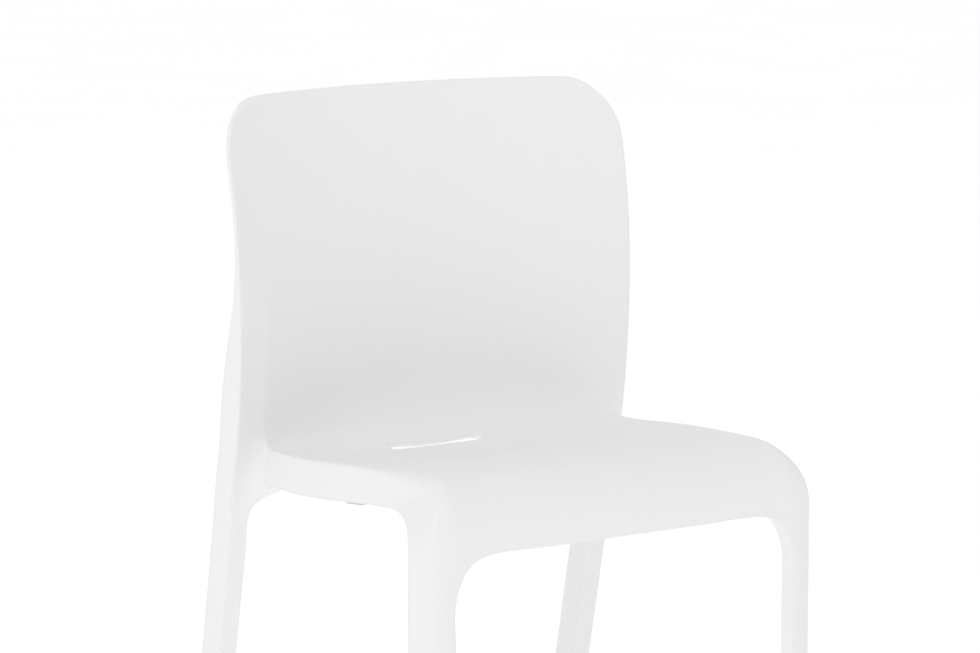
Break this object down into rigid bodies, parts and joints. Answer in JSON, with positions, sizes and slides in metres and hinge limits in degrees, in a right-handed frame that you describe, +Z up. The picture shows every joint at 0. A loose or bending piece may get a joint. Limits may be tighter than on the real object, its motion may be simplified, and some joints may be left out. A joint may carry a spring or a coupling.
{
  "type": "stacking chair",
  "caption": "Armless monobloc stacking chair with a curved back, a rounded seat front, hollow legs and plug-in glides.",
  "frame": {"origin": "on the floor, under the centre of the footprint", "axes": "+Z up, the chair faces -Y, +X is to the right of a person who looks at its front"},
  "size_m": [0.5, 0.4741, 0.813],
  "materials": {
    "body_polypropylene": "satin with a fine moulded texture",
    "glide_nylon": "satin",
    "pad_rubber": "matte",
    "bumper_rubber": "matte"
  },
  "bodies": {
    "root": {"chair_body": "body_polypropylene", "front_left_glide": "glide_nylon", "front_left_glide_pad": "pad_rubber", "front_right_glide": "glide_nylon", "front_right_glide_pad": "pad_rubber", "rear_left_glide": "glide_nylon", "rear_left_glide_pad": "pad_rubber", "rear_right_glide": "glide_nylon", "rear_right_glide_pad": "pad_rubber", "stacking_bumper_left": "bumper_rubber", "stacking_bumper_right": "bumper_rubber"}
  },
  "joints": []
}
